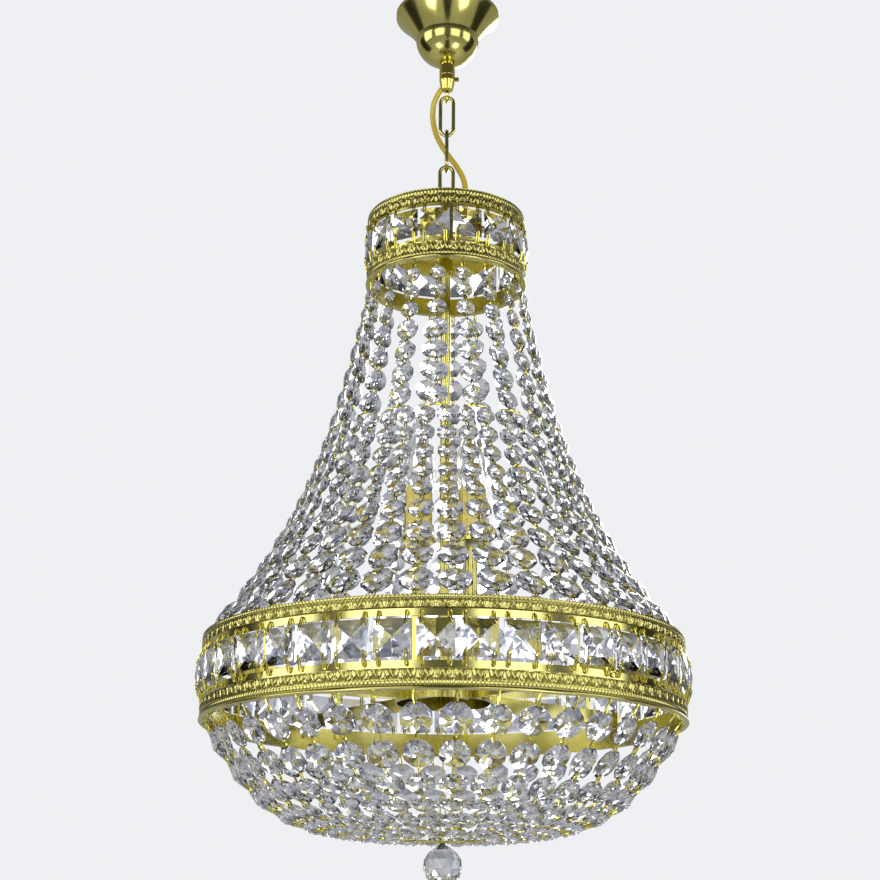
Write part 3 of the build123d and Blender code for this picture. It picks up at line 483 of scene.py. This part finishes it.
def cut_octagons(name):
    """Finely cut octagons in the places of a CAD node's plain ones, each turned a hair on its wire."""
    shape = Shape()
    for corners in islands(name):
        centre = corners.mean(axis=0)
        offsets = corners - centre
        normal = np.linalg.eigh(offsets.T @ offsets)[1][:, 0]
        flat = offsets - np.outer(offsets @ normal, normal)
        reach = np.linalg.norm(flat, axis=1)
        corner = unit(flat[reach.argmax()])
        half = np.abs(offsets @ normal).max()
        width = 2 * reach.max() * cos(pi / 8)
        along = corner * cos(pi / 8) + np.cross(normal, corner) * sin(pi / 8)
        turn = Matrix.Rotation(radians(tilts.uniform(-5, 5)), 3, Vector(along))
        turn @= Matrix.Rotation(radians(tilts.uniform(-3, 3)), 3, Vector(np.cross(normal, along)))
        axes = np.array(turn) @ np.column_stack([along, np.cross(normal, along), normal])
        points, faces = octagon_cut(width, half)
        shape.add(points @ axes.T + centre, faces)
    shape.piece(f"{name}_cut", name)


def cut_squares(name):
    """Square crystals in the places of a CAD node's squares."""
    shape = Shape()
    for corners in islands(name):
        middle = (corners.max(axis=0) + corners.min(axis=0)) / 2
        width = corners[:, 2].max() - corners[:, 2].min()
        outward = unit(np.array([middle[0], middle[1], 0]))
        up = np.array([0, 0, 1.0])
        across = np.cross(up, outward)
        reach = corners @ outward
        sideways = np.abs(corners @ across)
        girdle = reach[sideways > width / 2 - 0.1 * mm].mean()
        centre = outward * girdle + up * middle[2]
        axes = np.column_stack([across, up, outward])
        points, faces = square_cut(width)
        shape.add(points @ axes.T + centre, faces)
    shape.piece(f"{name}_cut", name)


for name in (
    "tent_single_crystals", "tent_double_small_crystals", "tent_double_large_crystals",
    "basket_outer_crystals", "basket_inner_crystals",
):
    cut_octagons(name)
for name in ("crown_squares", "main_squares"):
    cut_squares(name)


def string_pins(name, heart):
    """Bent wire pins: each is a closed loop through the holes of two crystals, with a twist between them."""
    shape = Shape()
    for corners in islands(name):
        centre = corners.mean(axis=0)
        offsets = corners - centre
        along = np.linalg.eigh(offsets.T @ offsets)[1][:, 2]
        length = 2 * np.abs(offsets @ along).max()
        outward = centre - np.array(heart)
        outward = unit(outward - along * (outward @ along))
        across = np.cross(along, outward)
        line = []
        for turn in np.arange(18) * 2 * pi / 18:
            reach = cos(turn) * (length / 2 + pin_hold)
            spread = outward * pin_loop * cos(turn) ** 2 + across * pin_waist * sin(turn) ** 2
            line.append(centre + along * reach + spread * sin(turn))
        shape.add(*tube(line, pin_wire, 5, closed=True))
    shape.piece(f"{name}_wire", name, smooth=60)


string_pins("tent_pins", (0, 0, -0.75))
string_pins("basket_pins", (0, 0, -0.78))


def square_pins(name, band, squares):
    """Wire clips from the band's plain strip to the squares' corner holes: two loops with a narrow waist."""
    shape = Shape()
    wall = abs(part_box(band)[1][0]) - band_relief - lip_roll
    low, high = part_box(squares)
    middle = (low[2] + high[2]) / 2
    for corners in islands(name):
        centre = corners.mean(axis=0)
        outward = unit(np.array([centre[0], centre[1], 0]))
        face = (corners @ outward).max() + 1.0 * mm
        across = np.cross(outward, (0, 0, 1.0))
        towards_band = np.array([0, 0, 1.0 if centre[2] > middle else -1.0])
        base = np.array([0, 0, centre[2]])
        line = []
        for turn in np.arange(20) * 2 * pi / 20:
            rise = clip_reach * cos(turn) - clip_drop
            half = sin(turn) * (clip_waist + clip_swell * cos(turn) ** 2)
            share = (1 - cos(turn)) / 2
            reach = wall + clip_stand + (face - wall) * share
            line.append(outward * reach + across * half + base + towards_band * rise)
        shape.add(*tube(line, clip_wire, 6, closed=True))
    shape.piece(f"{name}_wire", name, smooth=60)


square_pins("crown_square_pins", "crown_bottom_band", "crown_squares")
square_pins("main_square_pins", "main_bottom_band", "main_squares")


# Stamped bands


def leaves(along, up, period, height):
    """Relief from 0 to 1 of one repeat: leaf ovals with spindles between, and a row of short ribs.

    Lengths are in millimetres, and up is measured from the strip's foot.
    """
    parting = 0.64 * height
    middle = parting / 2
    across = along - period / 2
    oval = np.hypot(across / (0.3 * period), (up - middle) / (0.47 * parting))
    turn = np.arctan2(across / period, (up + 0.1 * height) / height)
    ribs = 0.55 + 0.45 * np.cos(15 * turn)
    inside = np.clip(1 - oval**8, 0, 1) * ribs
    rim = np.exp(-(((oval - 0.96) / 0.09) ** 2))
    relief = np.maximum(inside, rim)
    for place in (0.0, 1.0):
        offset = along - place * period - 0.9 * np.sin(2 * pi * (up - middle) / parting)
        taper = np.clip(1.15 - np.abs(up - middle) / (0.52 * parting), 0, 1)
        relief = np.maximum(relief, 0.95 * np.exp(-((offset / 0.75) ** 2)) * taper)
    relief = relief * np.clip((parting - 0.3 - up) / 0.3, 0, 1)
    ledge = np.exp(-(((up - parting - 0.1) / 0.35) ** 2)) * 0.8
    row = 0.5 + 0.5 * np.cos(8 * pi * along / period)
    row_share = (up - parting - 0.9) / (height - parting - 1.8)
    small = row**0.7 * np.clip(1.15 - (2 * row_share - 1) ** 4, 0, 1) * (np.abs(2 * row_share - 1) < 1.05)
    edge = np.exp(-(((up - height + 0.3) / 0.4) ** 2)) + np.exp(-((up / 0.4) ** 2))
    return np.clip(np.maximum(np.maximum(relief, small), max(ledge, edge)), 0, 1)


def band(name, periods, plain_strip, upside_down):
    """Stamped band: a plain strip, a strip of leaves and a turned-in flange; the lower bands have a lip."""
    low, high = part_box(name)
    bottom, top = low[2], high[2]
    radius = high[0] - band_relief - (lip_roll if upside_down else 0)
    inside = radius - band_wall
    columns = periods * columns_per_period
    turns = np.arange(columns) * 2 * pi / columns
    period = 2 * pi * radius / periods / mm
    along = (np.arange(columns) % columns_per_period) / columns_per_period * period
    if upside_down:
        strip_low, strip_high = bottom + band_lip, top - plain_strip
    else:
        strip_low, strip_high = bottom + plain_strip, top
    height = (strip_high - strip_low) / mm
    rows = []
    for step in range(relief_rows + 1):
        share = step / relief_rows
        up = share * height
        relief = leaves(along, height - up if upside_down else up, period, height)
        reach = radius + 0.35 * mm + (band_relief - 0.35 * mm) * relief
        rows.append((reach, strip_low + share * (strip_high - strip_low), relief))
    plain = np.full(columns, 0.75)
    if upside_down:
        rows += [(radius, strip_high, plain), (radius, top, plain), (inside, top, plain)]
        rows += [(inside, bottom + band_wall, plain), (inside - band_flange, bottom + band_wall, plain)]
        rows += [(inside - band_flange, bottom, plain), (radius, bottom, plain)]
        for turn in (-60, -30, 0, 30, 60):
            reach = radius + band_relief * 0.6 + 1.4 * mm * cos(radians(turn))
            rows.append((reach, bottom + band_lip / 2 * (1 + sin(radians(turn))), plain))
    else:
        rows += [(radius + band_relief * 0.5, top, plain), (inside - band_flange, top, plain)]
        rows += [(inside - band_flange, top - band_wall, plain), (inside, top - band_wall, plain)]
        rows += [(inside, bottom, plain), (radius, bottom, plain), (radius, strip_low, plain)]
    points = []
    values = []
    for reach, level, relief in rows:
        reach = np.broadcast_to(reach, columns)
        points.extend(zip(reach * np.sin(turns), -reach * np.cos(turns), np.full(columns, level)))
        values.extend(relief)
    shape = Shape()
    shape.add(points, wrapped_faces(len(rows), columns), values)
    shape.piece(f"{name}_stamped", name, smooth=50)


band("crown_top_band", crown_periods, crown_plain, False)
band("crown_bottom_band", crown_periods, crown_plain, True)
band("main_top_band", main_periods, main_plain, False)
band("main_bottom_band", main_periods, main_plain, True)


# Canopy, chain and candles


def bowed(start, end, bow):
    """Middle of an arc that bows outward from the straight line between two (radius, height) points."""
    run, rise = end[0] - start[0], end[1] - start[1]
    share = bow / sqrt(run**2 + rise**2)
    return (start[0] + end[0]) / 2 - rise * share, (start[1] + end[1]) / 2 + run * share


def canopy():
    """Flared cup with a crease between its bell and its dome."""
    walls = []
    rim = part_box("canopy_cup")[1][0] / mm
    for wall in (0.0, canopy_wall):
        rim_foot = (rim - wall, -canopy_rim_height)
        crease = (canopy_crease[0] - wall, canopy_crease[1])
        floor = (canopy_floor[0], canopy_floor[1] + wall)
        flare = arc(rim_foot, bowed(rim_foot, crease, canopy_flare_bow), crease, 18)
        dome = arc(crease, bowed(crease, floor, canopy_dome_bow), floor, 20)
        walls.append([(rim - wall, 0.0)] + flare + dome[1:] + [(canopy_hole_radius, floor[1])])
    shape = Shape()
    shape.add(*turned([(r * mm, z * mm) for r, z in walls[0] + walls[1][::-1]], 128))
    shape.piece("canopy_cup_spun", "canopy_cup", smooth=28)


canopy()


def chain_link(name):
    """Oval wire link with a slight swelling where its ends are welded."""
    low, high = (np.array(corner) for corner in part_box(name))
    size = high - low
    wide = np.array([1.0, 0, 0]) if size[0] > size[1] else np.array([0, 1.0, 0])
    bend = size[:2].max() / 2 - wire_radius
    top = high[2] - wire_radius - bend
    foot = low[2] + wire_radius + bend
    line = []
    for turn in np.linspace(0, pi, 17):
        line.append(wide * bend * cos(turn) + np.array([0, 0, top + bend * sin(turn)]))
    for share in (0.25, 0.42, 0.5, 0.58, 0.75):
        line.append(wide * -bend + np.array([0, 0, top + (foot - top) * share]))
    for turn in np.linspace(pi, 2 * pi, 17):
        line.append(wide * bend * cos(turn) + np.array([0, 0, foot + bend * sin(turn)]))
    line += [wide * bend + np.array([0, 0, foot + (top - foot) * share]) for share in (0.25, 0.5, 0.75)]
    radii = np.full(len(line), wire_radius)
    radii[19] = wire_radius * weld_swelling
    shape = Shape()
    shape.add(*tube(line, radii, 16, closed=True))
    shape.piece(f"{name}_wire", name, smooth=60)


for name in ("chain_link_upper", "chain_link_middle", "chain_link_lower"):
    chain_link(name)


def candle_sleeves():
    """Ribbed gold sleeves round the lamp holders."""
    shape = Shape()
    for corners in islands("candle_sleeves"):
        low, high = corners.min(axis=0), corners.max(axis=0)
        centre = (low + high) / 2
        radius = (high[0] - low[0]) / 2
        columns = sleeve_ribs * 6
        inside = radius - sleeve_wall
        plain = radius - rib_depth
        ribs = plain + rib_depth * np.cos(np.arange(columns) * 2 * pi / 6)
        rows = [
            (plain, low[2]), (ribs, low[2] + sleeve_plain), (ribs, high[2] - sleeve_plain),
            (plain, high[2]), (inside, high[2]), (inside, low[2]),
        ]
        turns = np.arange(columns) * 2 * pi / columns
        points = []
        for reach, level in rows:
            reach = np.broadcast_to(reach, columns)
            across = centre[0] + reach * np.cos(turns)
            points.extend(zip(across, centre[1] + reach * np.sin(turns), np.full(columns, level)))
        shape.add(points, wrapped_faces(len(rows), columns))
    shape.piece("candle_sleeves_ribbed", "candle_sleeves", smooth=50)


candle_sleeves()


def filament(number):
    """Zigzag lamp wire and its two legs inside a bulb."""
    low, high = (np.array(corner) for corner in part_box(f"bulb_{number}_glass"))
    centre = (low + high) / 2
    base = low[2] + filament_height
    zigzag = [(-4.2 + 8.4 * step / 8, 14 + (6 if step % 2 else 0)) for step in range(9)]
    outline = [(-5, 0)] + zigzag + [(5, 0)]
    line = [centre * (1, 1, 0) + np.array([x * mm, 0, base + z * mm]) for x, z in outline]
    points, faces = tube(line, filament_wire, 5)
    thing = new_object(f"bulb_{number}_filament", points, faces, filament_metal, smooth=180)
    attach(thing, f"bulb_{number}")


for number in range(1, 5):
    filament(number)


def finial_ball():
    """Ball cut with staggered rows of facets and drawn up to a blunt point."""
    low, high = (np.array(corner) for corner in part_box("finial_ball"))
    radius = (high[0] - low[0]) / 2
    centre = np.array([(low[0] + high[0]) / 2, (low[1] + high[1]) / 2, low[2] + radius])
    mesh = bmesh.new()
    for step in range(8):
        turn = pi / 4 * step
        across = centre[:2] + ball_point_radius * np.array([cos(turn), sin(turn)])
        mesh.verts.new((across[0], across[1], high[2]))
    for row, (rise, count) in enumerate(ball_rows):
        reach = radius * cos(radians(rise))
        for step in range(count):
            turn = 2 * pi * (step + 0.5 * (row % 2)) / count
            offset = np.array([reach * cos(turn), reach * sin(turn), radius * sin(radians(rise))])
            mesh.verts.new(centre + offset)
    bmesh.ops.convex_hull(mesh, input=mesh.verts)
    mesh.verts.index_update()
    shape = Shape()
    faces = [tuple(vertex.index for vertex in face.verts) for face in mesh.faces]
    shape.add([vertex.co for vertex in mesh.verts], faces)
    mesh.free()
    shape.piece("finial_ball_cut", "finial_ball")


finial_ball()


# Supply cord: one smooth line, parted into four equal lengths


def cord_line():
    """Points of the smooth line that the cord follows."""
    curve = bpy.data.curves.new("cord_route", "CURVE")
    curve.dimensions = "3D"
    curve.resolution_u = 16
    spline = curve.splines.new("NURBS")
    spline.points.add(len(cord_route) - 1)
    for point, place in zip(spline.points, cord_route):
        point.co = (place[0] * mm, place[1] * mm, place[2] * mm, 1)
    spline.order_u = 3
    spline.use_endpoint_u = True
    holder = bpy.data.objects.new("cord_route", curve)
    mesh = bpy.data.meshes.new_from_object(holder)
    line = np.array([tuple(vertex.co) for vertex in mesh.vertices])
    bpy.data.objects.remove(holder)
    bpy.data.meshes.remove(mesh)
    return line


def supply_cord():
    """Four equal lengths of one cord along its smooth line."""
    line = cord_line()
    steps = np.linalg.norm(np.diff(line, axis=0), axis=1)
    run = np.concatenate([[0], np.cumsum(steps)])
    bodies = ["ceiling_mount", "upper_link", "middle_link", "lower_link", "chandelier"]
    for index, (above, below) in enumerate(zip(bodies, bodies[1:])):
        start, end = run[-1] * index / 4, run[-1] * (index + 1) / 4
        stations = np.linspace(start, end, 25)
        path = np.column_stack([np.interp(stations, run, line[:, axis]) for axis in range(3)])
        points, faces = tube(path, cord_diameter / 2, 20)
        thing = new_object(f"supply_cord_{index + 1}", points, faces, materials["cord_plastic"], smooth=60)
        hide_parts("supply_cord")
        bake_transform(thing)


supply_cord()


# Studio


def studio():
    """Pale floor and backdrop, soft lights and dark flags that give the metal and glass their edges."""
    floor_look = brushed("studio_floor_look", (0.74, 0.74, 0.75), (0.78, 0.78, 0.79), 0.7, 0.0, 40, 0.0)
    corners = [(-8, -8, -2.4), (8, -8, -2.4), (8, 8, -2.4), (-8, 8, -2.4)]
    new_object("studio_floor", corners, [(0, 1, 2, 3)], floor_look)
    flag_look = brushed("studio_flag_look", (0.015, 0.015, 0.017), (0.02, 0.02, 0.022), 0.9, 0.0, 40, 0.0)
    for name, place, (width, height), lean, turn in (
        ("studio_flag_left", (-2.3, 0.6, -2.0), (1.3, 2.5), 0, 105),
        ("studio_flag_right", (2.3, 0.5, -2.0), (1.3, 2.5), 0, -100),
        ("studio_flag_front", (0.05, -3.2, -2.0), (0.55, 1.2), 0, 0),
        ("studio_flag_low", (0, -2.9, -2.2), (0.8, 2.2), -90, 0),
    ):
        half = width / 2
        corners = [(-half, 0, 0), (half, 0, 0), (half, 0, height), (-half, 0, height)]
        flag = new_object(name, corners, [(0, 1, 2, 3)], flag_look)
        flag.location = place
        flag.rotation_euler = (radians(lean), 0, radians(turn))
        flag.visible_camera = False
        flag.visible_shadow = False
        flag.visible_diffuse = False
    for name, place, aim, size, power in (
        ("softbox_right", (1.2, -2.2, -0.1), (0, 0, -0.6), (1.4, 1.3), 11),
        ("softbox_right_side", (2.3, -0.7, 0.0), (0, 0, -0.6), (1.2, 1.2), 9),
        ("softbox_left", (-1.15, -2.2, 0.0), (0, 0, -0.6), (1.4, 1.3), 12),
        ("softbox_left_side", (-2.3, -0.7, 0.1), (0, 0, -0.6), (1.3, 1.3), 11),
        ("softbox_back", (0.8, 2.2, 0.2), (0, 0, -0.5), (1.2, 1.2), 20),
        ("softbox_low_left", (-1.2, -1.0, -2.1), (0, 0, -0.5), (0.7, 0.8), 6),
        ("softbox_low_right", (1.2, -1.0, -2.1), (0, 0, -0.5), (0.7, 0.8), 6),
    ):
        light = bpy.data.lights.new(name, "AREA")
        light.shape = "RECTANGLE"
        light.size, light.size_y = size
        light.energy = power
        lamp = bpy.data.objects.new(name, light)
        lamp.location = place
        lamp.rotation_euler = (Vector(aim) - Vector(place)).to_track_quat("-Z", "Y").to_euler()
        bpy.context.scene.collection.objects.link(lamp)


def combine(tree, operation, first, second):
    """Output of a math node fed by sockets or numbers."""
    node = add_node(tree, "ShaderNodeMath", operation=operation)
    for socket, value in zip(node.inputs, (first, second)):
        if isinstance(value, (int, float)):
            socket.default_value = value
        else:
            tree.links.new(value, socket)
    return node.outputs[0]


def backdrop():
    """Pale surroundings, which fall off behind the camera and overhead for reflections only."""
    world = bpy.data.worlds.new("studio_world")
    bpy.context.scene.world = world
    world.use_nodes = True
    tree = world.node_tree
    background = tree.nodes["Background"]
    background.inputs["Color"].default_value = (0.86, 0.87, 0.89, 1)
    rays = tree.nodes.new("ShaderNodeLightPath")
    place = tree.nodes.new("ShaderNodeTexCoord")
    split = tree.nodes.new("ShaderNodeSeparateXYZ")
    tree.links.new(place.outputs["Generated"], split.inputs[0])
    behind = add_node(tree, "ShaderNodeMapRange")
    behind.inputs["From Min"].default_value = -0.3
    behind.inputs["From Max"].default_value = 0.5
    behind.inputs["To Min"].default_value = 0.3
    behind.inputs["To Max"].default_value = 1.0
    tree.links.new(split.outputs["Y"], behind.inputs["Value"])
    overhead = add_node(tree, "ShaderNodeMapRange")
    overhead.inputs["From Min"].default_value = 0.35
    overhead.inputs["From Max"].default_value = 0.8
    overhead.inputs["To Min"].default_value = 1.0
    overhead.inputs["To Max"].default_value = 0.12
    tree.links.new(split.outputs["Z"], overhead.inputs["Value"])
    seen = combine(tree, "MULTIPLY", behind.outputs[0], overhead.outputs[0])
    mirrored = combine(tree, "MULTIPLY", rays.outputs["Is Glossy Ray"], 0.4)
    refracted = combine(tree, "MULTIPLY", rays.outputs["Is Transmission Ray"], 0.6)
    reflected = combine(tree, "MULTIPLY", combine(tree, "MAXIMUM", mirrored, refracted), seen)
    through = combine(tree, "MAXIMUM", rays.outputs["Is Glossy Ray"], rays.outputs["Is Transmission Ray"])
    rest = combine(tree, "MULTIPLY", combine(tree, "SUBTRACT", 1.0, through), 0.5)
    indirect = combine(tree, "ADD", reflected, rest)
    camera = rays.outputs["Is Camera Ray"]
    other = combine(tree, "MULTIPLY", combine(tree, "SUBTRACT", 1.0, camera), indirect)
    tree.links.new(combine(tree, "ADD", camera, other), background.inputs["Strength"])


def camera():
    """Camera at the photograph's place: level with the basket, looking up at the middle of the light."""
    lens = bpy.data.cameras.new("photo_camera")
    lens.sensor_width = 36.0
    lens.lens = 1690 / 880 * 36
    viewer = bpy.data.objects.new("photo_camera", lens)
    viewer.location = (-0.0018, -1.66, -1.021)
    viewer.rotation_euler = (radians(90 + 17.5), radians(-0.37), 0)
    bpy.context.scene.collection.objects.link(viewer)
    bpy.context.scene.camera = viewer


studio()
backdrop()
camera()
bpy.context.scene.view_settings.view_transform = "Standard"
